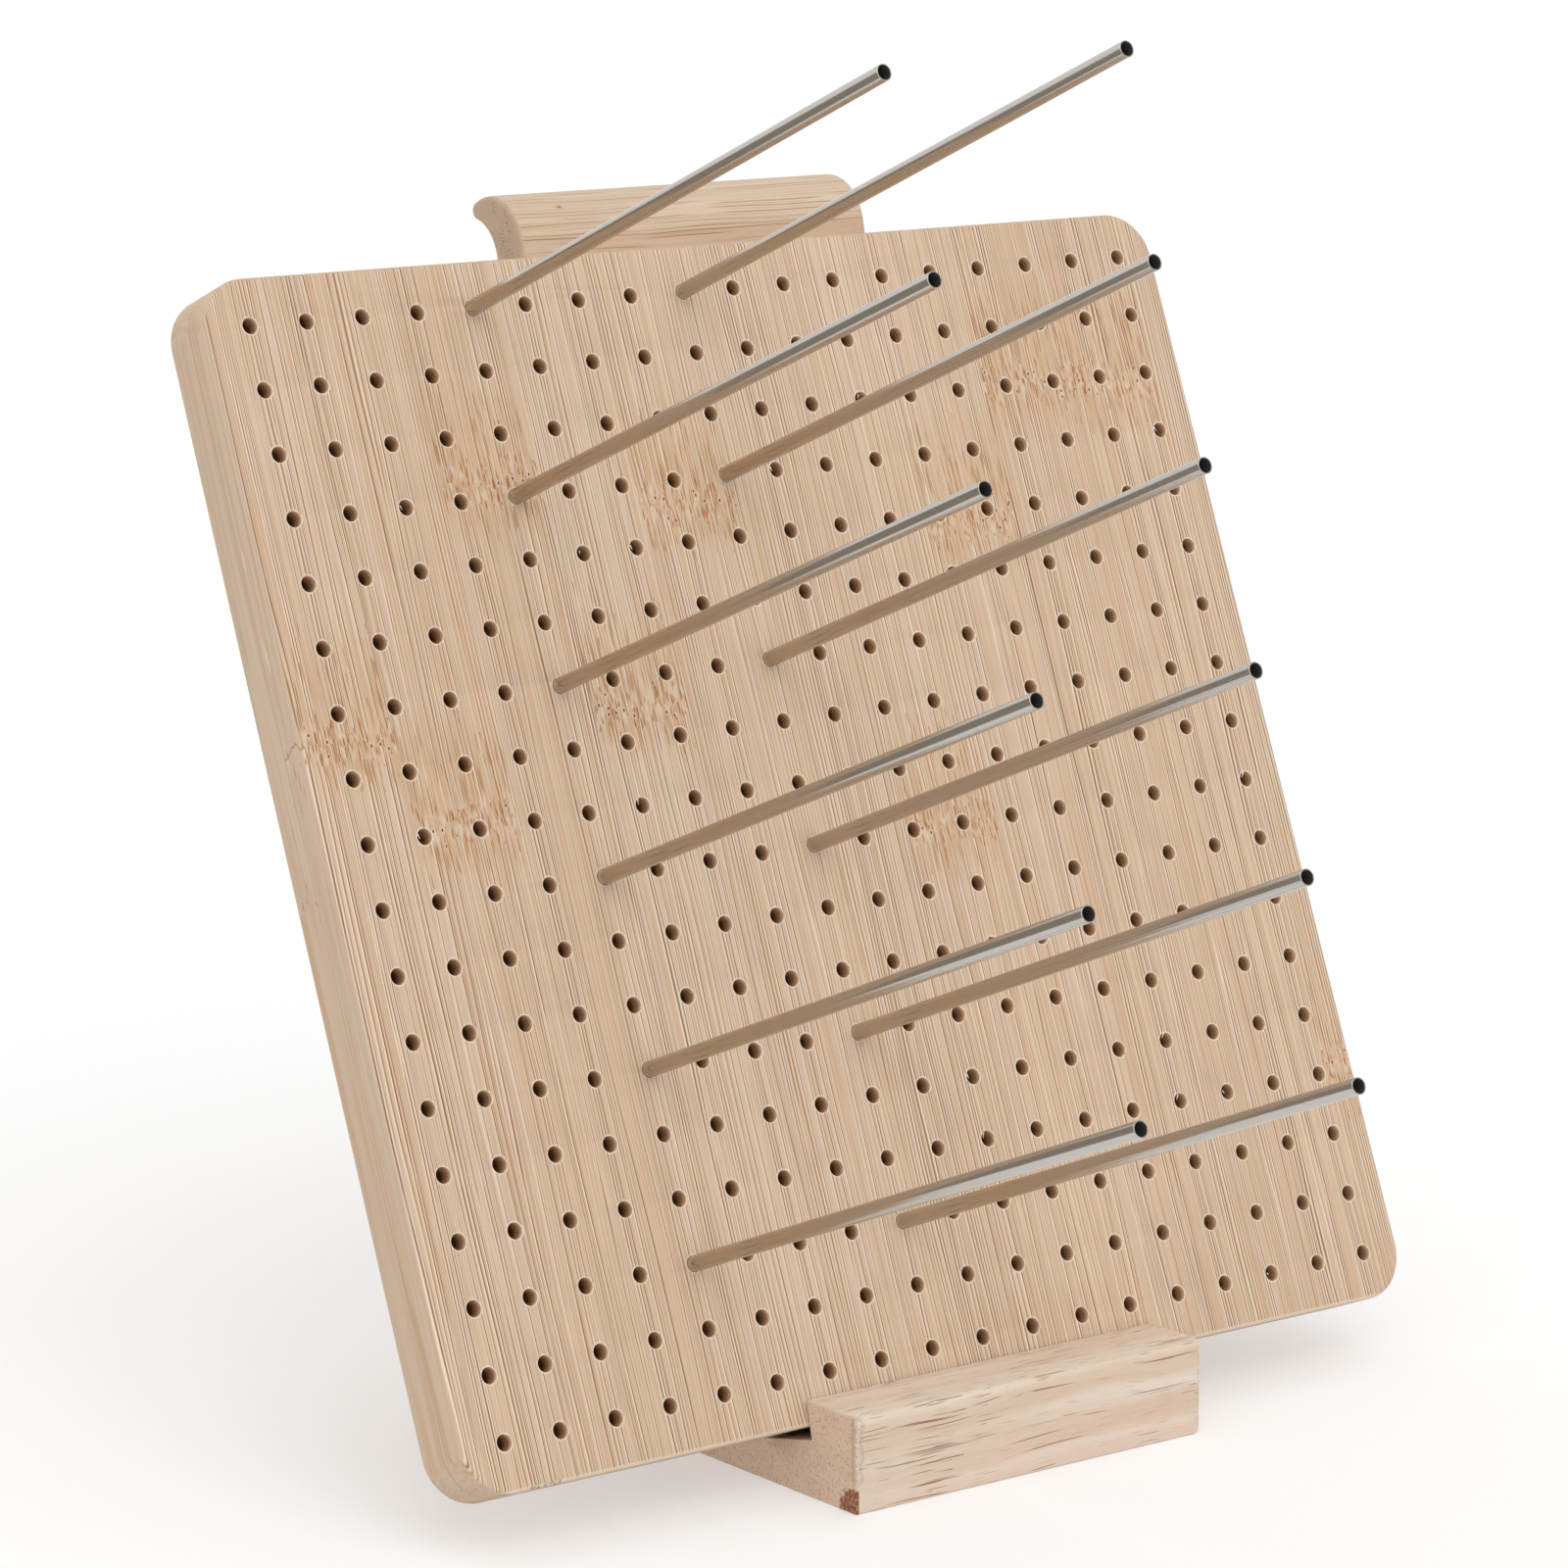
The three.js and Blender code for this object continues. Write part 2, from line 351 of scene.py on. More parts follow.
def planed_hardwood(tree):
    """Open pores as long thin marks, soft bands, dotted end grain, torn fibres and bark."""
    place = places(tree)
    x, y, z = apart(tree, place)
    swirl = noise(tree, place, (55, 14, 9))["Color"]
    grain = vector_maths(tree, "MULTIPLY_ADD", swirl, (0, 0.6, 5.0), place)
    patches = grains(tree, place, (24, 6, 6), 1.0)
    many = times_plus(tree, patches, 0.9, -0.16)
    long_pores = dashes(tree, grain, (32, 0.38, 0.38), 0.32, many)
    short_pores = dashes(tree, grain, (14, 0.35, 0.35), 0.32, times(tree, many, 0.8))
    fine_pores = dashes(tree, grain, (8, 0.3, 0.3), 0.3, 0.35)
    bands = grains(tree, grain, (130, 5, 4.5))
    streaks = grains(tree, grain, (14, 0.35, 0.35), 3.0, 0.6)
    mottle = grains(tree, place, (3, 1.2, 1.2), 3.0, 0.6)
    colour = dyed(tree, fade(tree, bands, 0.32, 0.66), srgb(226, 201, 177), srgb(238, 222, 205))
    blush = fade(tree, times_plus(tree, bands, 9.0, z), 13.0, 6.0)
    colour = stained(tree, colour, blush, 0.5, srgb(228, 198, 176))
    colour = mottled(tree, colour, (streaks, 0.1), (mottle, 0.05))

    end_grain = end_mask(tree, x, base_low.x, base_high.x, 0.7)
    specks = grains(tree, place, (0.34, 0.34, 0.5))
    clouds = grains(tree, place, (7, 7, 7))
    end_colour = dyed(tree, fade(tree, specks, 0.5, 0.76), srgb(235, 208, 184), srgb(188, 152, 126))
    end_colour = mottled(tree, end_colour, (clouds, 0.1))
    colour = dyed(tree, end_grain, colour, end_colour)

    pores = larger(tree, times(tree, short_pores, 0.8), long_pores)
    pores = larger(tree, times(tree, fine_pores, 0.3), pores)
    pores = times(tree, pores, times_plus(tree, end_grain, -0.7, 1.0))
    colour = dyed(tree, pores, colour, srgb(142, 100, 69))

    corner = (base_low.x / MM, base_low.y / MM, base_low.z / MM)
    fray = grains(tree, place, (1.2, 1.2, 0.7), 3.0, 0.7)
    inward = larger(tree, minus(tree, x, corner[0]), minus(tree, y, corner[1]))
    frayed = fade(tree, times_plus(tree, fray, -3.2, inward), 0.2, -0.9)
    above_low = fade(tree, z, torn_low / MM - 0.5, torn_low / MM + 1)
    below_high = fade(tree, z, torn_high / MM + 1, torn_high / MM - 1)
    frayed = times(tree, frayed, times(tree, above_low, below_high))
    colour = stained(tree, colour, frayed, 0.35, srgb(240, 226, 208))

    from_corner = vector_maths(tree, "SUBTRACT", place, corner)
    from_corner = vector_maths(tree, "DIVIDE", from_corner, bark_size)
    crumbs = grains(tree, place, (0.5, 0.5, 0.8), 3.0, 0.7)
    edge = grains(tree, place, (1.4, 1.4, 1.4), 2.0, 0.6)
    ragged = times_plus(tree, edge, 0.9, length(tree, from_corner))
    bark = times(tree, fade(tree, ragged, 1.5, 1.35), end_grain)
    bark_colour = dyed(tree, fade(tree, crumbs, 0.4, 0.62), srgb(132, 74, 46), srgb(205, 152, 118))
    colour = dyed(tree, bark, colour, bark_colour)

    height = times_plus(tree, pores, -0.04, times(tree, streaks, 0.03))
    height = times_plus(tree, specks, times(tree, end_grain, 0.1), height)
    rough = larger(tree, bark, frayed)
    height = times_plus(tree, crumbs, times(tree, rough, 0.5), height)
    return bare_wood(tree, colour, times_plus(tree, streaks, 0.2, 0.5), height)


base.data.materials.append(new_material(planed_hardwood))
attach(base, "stand")
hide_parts("stand_base")


def shape(tree, kind, inputs=(), **settings):
    """What a new geometry node gives."""
    return add(tree, "GeometryNode" + kind, inputs, **settings).outputs[0]


def in_material(tree, geometry, material):
    """The geometry made real, all of it in one material."""
    whole = shape(tree, "RealizeInstances", {0: geometry})
    return shape(tree, "SetMaterial", {"Geometry": whole, "Material": material})


def random_number(tree, low, high, seed):
    """A number for each point, drawn between two."""
    return add(tree, "FunctionNodeRandomValue", {2: low, 3: high, 8: seed}).outputs[1]


def random_vector(tree, low, high, seed):
    """Three numbers for each point, each drawn between two."""
    limits = {0: low, 1: high, 8: seed}
    return add(tree, "FunctionNodeRandomValue", limits, data_type="FLOAT_VECTOR").outputs[0]


def random_turn(tree, low, high, seed):
    """A turn for each point, its three angles drawn between two."""
    return add(tree, "FunctionNodeEulerToRotation", {0: random_vector(tree, low, high, seed)}).outputs[0]


def baked(maker, build, values):
    """The maker's mesh as a tree of geometry nodes leaves it. The tree has an input for each of the
    values, by its name. No modifier and no empty material slot is left."""
    kinds = {int: "Int", float: "Float", bpy.types.Material: "Material"}
    tree = bpy.data.node_groups.new(build.__name__, "GeometryNodeTree")
    tree.interface.new_socket("Geometry", in_out="INPUT", socket_type="NodeSocketGeometry")
    for name, value in values.items():
        tree.interface.new_socket(name, in_out="INPUT", socket_type="NodeSocket" + kinds[type(value)])
    tree.interface.new_socket("Geometry", in_out="OUTPUT", socket_type="NodeSocketGeometry")
    whole = build(tree, tree.nodes.new("NodeGroupInput").outputs)
    tree.links.new(whole, tree.nodes.new("NodeGroupOutput").inputs[0])
    modifier = maker.modifiers.new(tree.name, "NODES")
    modifier.node_group = tree
    for name, value in values.items():
        modifier[tree.interface.items_tree[name].identifier] = value
    graph = bpy.context.evaluated_depsgraph_get()
    mesh = bpy.data.meshes.new_from_object(maker.evaluated_get(graph), depsgraph=graph)
    maker.modifiers.clear()
    for index in reversed(range(len(mesh.materials))):
        if mesh.materials[index] is None:
            mesh.materials.pop(index=index)
    mesh.name = maker.name
    return mesh


def grown(name, build, values):
    """A piece that a tree of geometry nodes makes from nothing."""
    piece = placed(name, bpy.data.meshes.new(name))
    piece.data = baked(piece, build, values)
    return piece


def facing_out(mesh, corner_angle):
    """Turns every face outwards and shades the mesh smooth except at sharp corners."""
    bm = bmesh.new()
    bm.from_mesh(mesh)
    bmesh.ops.recalc_face_normals(bm, faces=bm.faces)
    bm.to_mesh(mesh)
    bm.free()
    mesh.shade_smooth()
    mesh.set_sharp_from_angle(angle=math.radians(corner_angle))


def torn_edge(tree, given):
    """Strews small curls down an upright edge, most of them close to it, and lays them on its two
    faces. The edge is the Z axis, and the faces run to +X and to +Y."""
    seed = given["Seed"]
    flung = random_number(tree, -1.0, 1.0, seed)
    flung = times(tree, flung, maths(tree, "ABSOLUTE", flung), given["Reach"])
    along_front = larger(tree, flung, 0.0)
    along_end = larger(tree, times(tree, flung, -0.5), 0.0)
    height = random_number(tree, 0.0, given["Height"], plus(tree, seed, 1.0))
    where = point(tree, along_front, along_end, height)
    spots = shape(tree, "Points", {"Count": given["Curls"], "Position": where})
    curl = shape(tree, "CurveArc", {
        "Resolution": 6, "Radius": given["Curl"], "Start Angle": 0.0, "Sweep Angle": torn_bend,
    }, mode="RADIUS")
    strand = shape(tree, "CurvePrimitiveCircle", {"Resolution": 4, "Radius": given["Thickness"]})
    curl = shape(tree, "CurveToMesh", {"Curve": curl, "Profile Curve": strand, "Fill Caps": True})
    turn = random_turn(tree, (0, 0, 0), (math.tau,) * 3, plus(tree, seed, 2.0))
    size = random_number(tree, 0.35, 1.0, plus(tree, seed, 3.0))
    tufts = add(tree, "ShaderNodeTexNoise", {
        "Vector": where, "Scale": maths(tree, "DIVIDE", 1.0, given["Tuft"]), "Detail": 2.0,
    }).outputs[0]
    curls = shape(tree, "InstanceOnPoints", {
        "Points": spots, "Selection": maths(tree, "GREATER_THAN", tufts, tuft_level),
        "Instance": curl, "Rotation": turn, "Scale": size,
    })
    return in_material(tree, curls, given["Wood"])


def torn_wood(tree):
    """Bleached fibres, some of them browner."""
    patches = grains(tree, places(tree), (0.5, 0.5, 0.5), 2.0, 0.6)
    colour = dyed(tree, fade(tree, patches, 0.55, 0.75), srgb(255, 251, 244), srgb(226, 205, 182))
    return bare_wood(tree, colour, 0.8, times(tree, patches, 0.04))


bleached_fibres = new_material(torn_wood)
fibres = grown("torn_fibres", torn_edge, {
    "Curls": torn_curls, "Height": torn_high - torn_low, "Reach": torn_reach, "Curl": torn_curl,
    "Thickness": torn_thickness, "Tuft": torn_tuft, "Seed": 4, "Wood": bleached_fibres,
})
facing_out(fibres.data, 60)
fibres.data.transform(Matrix.Translation((base_low.x, base_low.y, torn_low)))
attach(fibres, "stand")

# The backrest is one bamboo plate with its grain across, planed to a rolled crest with a hollow
# behind it that the fingers take hold of. Its foot is pushed into the base's rear slot, and the
# board's top edge leans on its front.
crest_radius = 11 * MM
hollow_radius = 9.4 * MM
hollow_drop = 1.6 * MM
nose_radius = 1.81 * MM
rest_ease = 0.8 * MM
knot_along = -24.9 * MM
knot_up = 248.4 * MM

crest_rise = rest_high.z - rest_foot.y - crest_radius * (1 - math.sin(slot_tilt))
crest_up = crest_rise / math.cos(slot_tilt)
crest = Vector((crest_radius, crest_up))
hollow = Vector((backrest_thickness + hollow_radius, crest_up - hollow_drop))


def nose_between(crest, hollow):
    """The middle of the small round that joins the crest's outside to the hollow."""
    across = hollow - crest
    from_crest = crest_radius - nose_radius
    from_hollow = hollow_radius + nose_radius
    along = (from_crest ** 2 - from_hollow ** 2 + across.length_squared) / (2 * across.length)
    aside = math.sqrt(from_crest ** 2 - along ** 2)
    ahead = across.normalized()
    return crest + ahead * along + Vector((-ahead.y, ahead.x)) * aside


def turn_of(offset):
    """The direction of an offset in degrees, from 0 to 360."""
    return math.degrees(math.atan2(offset.y, offset.x)) % 360


nose = nose_between(crest, hollow)
crest_end = turn_of(nose - crest)
hollow_end = turn_of(nose - hollow)


def rest_section(inset):
    """The backrest's section, drawn in all round."""
    upright = [
        Vector((inset, inset)),
        *arc(crest, crest_radius - inset, 180, crest_end),
        *arc(nose, nose_radius - inset, crest_end, hollow_end - 180),
        *arc(hollow, hollow_radius + inset, hollow_end, 180),
        Vector((backrest_thickness - inset, inset)),
    ]
    return [slanted(rest_foot, corner.x, corner.y) for corner in upright]


rest_left = end_rings(rest_low.x, 1, rest_section, rest_ease)
rest_right = end_rings(rest_high.x, -1, rest_section, rest_ease)
backrest = lofted("backrest_plate", rest_left[::-1] + rest_right)


def fibre_ends(tree, across, away, spacing, width):
    """Fibre bundles cut square across: dark dots at this spacing, each in a paler ring."""
    flat = point(tree, across, away)
    distance, number = cells(tree, flat, (spacing,) * 3, "2D")
    distance = times(tree, distance, spacing)
    strength = fade(tree, number, -0.25, 0.95)
    dark = times(tree, fade(tree, distance, width * 0.7, width * 0.35), strength)
    pale = times(tree, fade(tree, distance, width * 1.5, width * 0.8), strength)
    return dark, pale


def stripes(tree, across, spacing):
    """Lines at uneven distances: how far a place is from the nearest, and that line's own number."""
    settings = {"W": maths(tree, "DIVIDE", across, spacing), "Scale": 1.0, "Randomness": 0.8}
    made = add(tree, "ShaderNodeTexVoronoi", settings, voronoi_dimensions="1D")
    distance = times(tree, made.outputs["Distance"], spacing)
    return distance, apart(tree, made.outputs["Color"])[0]


def pinstripes(tree, across, broken, spacing, width):
    """Fibre bundles cut along: dark lines, broken here and there, that also stand for painted shade in their
    grooves, and next to each a pale line that is a painted highlight on the groove's edge.
    """
    distance, number = stripes(tree, across, spacing)
    strength = times(tree, fade(tree, number, 0.0, 0.9), broken)
    dark = times(tree, fade(tree, distance, width * 0.8, width * 0.2), strength)
    # The pale line next to each dark one is a painted highlight on the groove's edge.
    highlight_beside, _ = stripes(tree, plus(tree, across, width), spacing)
    pale = times(tree, fade(tree, highlight_beside, width * 0.8, width * 0.2), strength)
    return dark, pale


def bamboo_across(tree):
    """Bamboo with its grain along X: thin brown lines, a pin knot, and dark dots on the ends."""
    place = places(tree, slot_tilt)
    x, y, z = apart(tree, place)
    grain = point(tree, z, y, x)
    drift = grains(tree, grain, (9, 9, 70))
    cut = times_plus(tree, y, 0.75, times_plus(tree, drift, 5.0, z))
    broken = fade(tree, grains(tree, grain, (1.2, 1.2, 26), 1.0), 0.4, 0.56)
    bundles_and_groove_shade, highlight_beside = pinstripes(tree, cut, broken, 1.25, 0.23)
    hairs, _ = pinstripes(tree, cut, broken, 0.6, 0.2)
    bands = grains(tree, grain, (2.6, 2.6, 150))
    streaks = grains(tree, grain, (0.3, 0.3, 16), 3.0, 0.6)
    flecks = grains(tree, grain, (0.25, 0.25, 2.5), 2.0, 0.6)
    colour = dyed(tree, fade(tree, bands, 0.3, 0.7), srgb(212, 186, 158), srgb(222, 201, 177))
    colour = mottled(tree, colour, (streaks, 0.08), (flecks, 0.05))

    ends = end_mask(tree, x, rest_low.x, rest_high.x, rest_ease / MM)
    dots, rings = fibre_ends(tree, z, y, 0.62, 0.32)
    front = (Matrix.Rotation(slot_tilt, 3, "X") @ Vector((0, *rest_foot))).y / MM
    behind_front = fade(tree, y, front + 1.5, front + 4)
    within = times(tree, behind_front, fade(tree, y, front + 11, front + 8))
    crowd = fade(tree, grains(tree, place, (2.5, 2.5, 5.0), 1.0), 0.35, 0.6)
    dots = times(tree, dots, times(tree, within, crowd))
    bundles_and_groove_shade = times(tree, bundles_and_groove_shade, minus(tree, 1.0, ends))
    hairs = times(tree, hairs, minus(tree, 1.0, ends))

    # Painted highlight: a pale line next to each dark line, on the groove's edge.
    colour = stained(tree, colour, highlight_beside, 0.3, srgb(234, 216, 192))
    colour = stained(tree, colour, hairs, 0.6, srgb(180, 140, 104))
    # The dark lines are fibre bundles and also painted shade in their grooves.
    colour = stained(tree, colour, bundles_and_groove_shade, 0.85, srgb(156, 112, 76))
    end_colour = stained(tree, srgb(198, 170, 144), rings, 0.4, srgb(214, 190, 164))
    end_colour = stained(tree, end_colour, dots, 0.85, srgb(118, 88, 66))
    colour = dyed(tree, ends, colour, end_colour)

    knot = (knot_along / MM, 0, knot_up / MM)
    from_knot = vector_maths(tree, "MULTIPLY", vector_maths(tree, "SUBTRACT", place, knot), (0.7, 0, 1.3))
    reach = length(tree, from_knot)
    round_knot = times(tree, fade(tree, reach, 1.0, 0.3), 0.35)
    colour = dyed(tree, round_knot, colour, srgb(188, 148, 114))
    colour = dyed(tree, fade(tree, reach, 0.42, 0.2), colour, srgb(158, 118, 88))

    height = times_plus(tree, bundles_and_groove_shade, -0.04, times(tree, streaks, 0.03))
    height = times_plus(tree, dots, times(tree, ends, -0.05), height)
    return bare_wood(tree, colour, times_plus(tree, streaks, 0.2, 0.5), height)


backrest.data.materials.append(new_material(bamboo_across))
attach(backrest, "backrest")
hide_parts("backrest")

# The board is two plies of glued bamboo strips, pressed, sanded, rounded at the corners and then
# drilled from the front with a blind hole at every half inch. It stands in the front slot and
# leans on the backrest.
face_mount = next(m for m in frame["record"]["mounts"] if m["name"] == "board_face")
grid_centre = Vector(face_mount["pos_m"])
out_of_face = Vector(face_mount["axis"])
up_the_face = out_of_face.cross(Vector((1, 0, 0)))
board_lean = math.atan2(out_of_face.z, -out_of_face.y)
board_low, board_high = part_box("board")
board_side = board_high.x - board_low.x
board_thickness = 14.5 * MM
board_corner = 10 * MM
board_ease = 0.8 * MM
ply_seam = 6.7 * MM
seam_groove = 0.1 * MM
hole_pitch = 12.7 * MM
holes_per_side = 18
hole_radius = 1.63 * MM
hole_rim = 0.04 * MM
hole_wear = 0.2 * MM
wear_grain = 1.1 * MM
hole_depth = 10.8 * MM
drill_tip = 1.0 * MM
hole_sides = 22
splinter_share = 0.09
splinter_length = 1.3 * MM
splinter_width = 0.3 * MM
splinter_lean = math.radians(104)
corner_steps = 10
ease_steps = 4
weld = 0.01 * MM

# The board's own frame: X to the right, Y up the face, Z out of the face, from the grid's middle.
board_place = Matrix.Translation(grid_centre) @ Matrix((
    (1, up_the_face.x, out_of_face.x),
    (0, up_the_face.y, out_of_face.y),
    (0, up_the_face.z, out_of_face.z),
)).to_4x4()


def rounded_square(bm, inset, z):
    """One ring of points round the board, drawn in by the inset."""
    straight = board_side / 2 - board_corner
    radius = board_corner - inset
    ring = []
    for corner in range(4):
        for step in range(corner_steps + 1):
            turn = math.radians(90) * (corner + step / corner_steps)
            middle = math.radians(90) * corner + math.radians(45)
            x = straight * math.copysign(1, math.cos(middle)) + radius * math.cos(turn)
            y = straight * math.copysign(1, math.sin(middle)) + radius * math.sin(turn)
            ring.append(bm.verts.new((x, y, z)))
    return ring


def undrilled_board(name):
    """The board's rim and back, open at the front, where the drilled face goes."""
    turns = [math.radians(90) * i / ease_steps for i in range(ease_steps + 1)]
    front = [(board_ease * (1 - math.sin(t)), board_ease * (math.cos(t) - 1)) for t in turns]
    back = [(inset, -board_thickness - z) for inset, z in reversed(front)]
    seam = [(0, seam_groove - ply_seam), (seam_groove, -ply_seam), (0, -seam_groove - ply_seam)]
    bm = bmesh.new()
    rings = [rounded_square(bm, inset, z) for inset, z in (*front, *seam, *back)]
    for upper, lower in zip(rings, rings[1:]):
        for i, vert in enumerate(upper):
            bm.faces.new((upper[i - 1], vert, lower[i], lower[i - 1]))
    bm.faces.new(reversed(rings[-1]))
    mesh = bpy.data.meshes.new(name)
    bm.to_mesh(mesh)
    bm.free()
    return placed(name, mesh)


def joined(tree, *parts):
    """Several geometries as one."""
    made = tree.nodes.new("GeometryNodeJoinGeometry")
    for part in parts:
        tree.links.new(part, made.inputs[0])
    return made.outputs[0]


def open_cone(tree, sides, low_radius, high_radius, depth, low):
    """A band of a drilled hole: open above and below, from the height low up by the depth."""
    band = shape(tree, "MeshCone", {
        "Vertices": sides, "Radius Bottom": low_radius, "Radius Top": high_radius, "Depth": depth,
    }, fill_type="NONE")
    return shape(tree, "Transform", {"Geometry": band, "Translation": point(tree, 0.0, 0.0, low)})


def in_cell(tree, place, pitch):
    """A place within its own square of a grid."""
    return vector_maths(tree, "WRAP", place, pitch)


def worn_mouths(tree, whole, given, mouth):
    """Moves points of every hole's mouth outwards a little, where fibres tore at the drill."""
    here = shape(tree, "InputPosition")
    pitch = point(tree, given["Pitch"], given["Pitch"], 1.0)
    cell = in_cell(tree, here, pitch)
    middle = stretched(tree, pitch, 0.5)
    outward = vector_maths(tree, "MULTIPLY", vector_maths(tree, "SUBTRACT", cell, middle), (1, 1, 0))
    close = maths(tree, "LESS_THAN", length(tree, outward), times(tree, mouth, 1.05))
    on_face = maths(tree, "GREATER_THAN", apart(tree, here)[2], times(tree, given["Rim"], -0.5))
    torn = add(tree, "ShaderNodeTexNoise", {
        "Vector": here, "Scale": 1 / wear_grain, "Detail": 2.0, "Roughness": 0.6,
    }).outputs[0]
    torn = larger(tree, times_plus(tree, torn, 3.0, -1.5), 0.0)
    amount = times(tree, torn, given["Wear"])
    ahead = vector_maths(tree, "NORMALIZE", outward, (0, 0, 0))
    return shape(tree, "SetPosition", {
        "Geometry": whole,
        "Selection": times(tree, close, on_face),
        "Offset": stretched(tree, ahead, amount),
    })


def hole_grid(tree, given):
    """A point where each hole is drilled."""
    span = times(tree, given["Pitch"], minus(tree, given["Holes"], 1.0))
    return shape(tree, "MeshGrid", {
        "Size X": span, "Size Y": span, "Vertices X": given["Holes"], "Vertices Y": given["Holes"],
    })


def drilling(tree, given):
    """Fills the open front with wood round a square grid of holes and lines each hole."""
    radius, rim, depth, sides = given["Radius"], given["Rim"], given["Depth"], given["Sides"]
    border = maths(tree, "COMPARE", shape(tree, "InputMeshEdgeNeighbors"), 1.0, 0.5)
    outline = shape(tree, "MeshToCurve", {0: given["Geometry"], 1: border})
    grid = hole_grid(tree, given)
    mouth = plus(tree, radius, rim)
    circle = shape(tree, "CurvePrimitiveCircle", {"Resolution": sides, "Radius": mouth})
    circles = shape(tree, "InstanceOnPoints", {"Points": grid, "Instance": circle})
    circles = shape(tree, "RealizeInstances", {0: circles})
    face = shape(tree, "FillCurve", {"Curve": joined(tree, outline, circles)})
    below_rim = times(tree, rim, -1.0)
    floor = times(tree, depth, -1.0)
    lining = joined(
        tree,
        open_cone(tree, sides, radius, mouth, rim, below_rim),
        open_cone(tree, sides, radius, radius, minus(tree, depth, rim), floor),
        open_cone(tree, sides, 0.0, radius, given["Tip"], minus(tree, floor, given["Tip"])),
    )
    lining = shape(tree, "StoreNamedAttribute", {
        "Geometry": lining, "Name": "in_hole", "Value": True,
    }, data_type="BOOLEAN", domain="FACE")
    linings = shape(tree, "InstanceOnPoints", {"Points": grid, "Instance": lining})
    linings = shape(tree, "RealizeInstances", {0: linings})
    whole = joined(tree, given["Geometry"], face, linings)
    whole = shape(tree, "MergeByDistance", {"Geometry": whole, "Distance": given["Weld"]})
    whole = in_material(tree, worn_mouths(tree, whole, given, mouth), given["Wood"])
    drilled = shape(tree, "InputNamedAttribute", {"Name": "in_hole"}, data_type="BOOLEAN")
    return shape(tree, "SetMaterial", {
        "Geometry": whole, "Selection": drilled, "Material": given["Hole Wall"],
    })


# The front's strips from left to right, in millimetres from the grid's middle: where each strip
# starts, its tone from dark to light, and the height of its node. A node far off is on no board.
NO_NODE = -400
STRIPS = [
    (-118.0, 0.55, 26), (-96.8, 0.45, 8), (-74.2, 0.40, 73), (-51.5, 0.75, 26), (-28.8, 0.60, 65),
    (-6.2, 0.50, NO_NODE), (16.9, 0.55, -6), (40.5, 0.50, 55), (63.5, 0.35, 83), (88.2, 0.45, 81),
    (109.7, 0.40, -68),
]
strip_reach = 118
node_reach = 400

# More of the board's measures in millimetres: how far the back ply's strips lie off the front's, how
# ragged a node is, how far the pattern jumps from strip to strip and past a node, and where the left
# side's seam is torn and the bottom edge nicked.
back_ply_aside = 9.7
back_ply_up = 29.0
node_waver = 9.0
strip_shift = 60.0
node_shift = 3.3
tear_height = 43.0
nick_left = 101.0


def strip_facts(tree, across):
    """The tone, the node's height and a random number of the strip at this place across the board."""
    share = times_plus(tree, across, 0.5 / strip_reach, 0.5)
    made = add(tree, "ShaderNodeValToRGB", {0: share})
    ramp = made.color_ramp
    ramp.interpolation = "CONSTANT"
    for number, (start, tone, node) in enumerate(STRIPS):
        seed = number * 0.37 % 1
        element = ramp.elements.new(0.5 + 0.5 * start / strip_reach)
        element.color = (tone, 0.5 + 0.5 * node / node_reach, seed, 1)
    ramp.elements.remove(ramp.elements[-1])
    ramp.elements.remove(ramp.elements[0])
    tone, node, seed = add(tree, "ShaderNodeSeparateColor", {0: made.outputs[0]}).outputs
    return tone, times(tree, minus(tree, node, 0.5), 2 * node_reach), seed


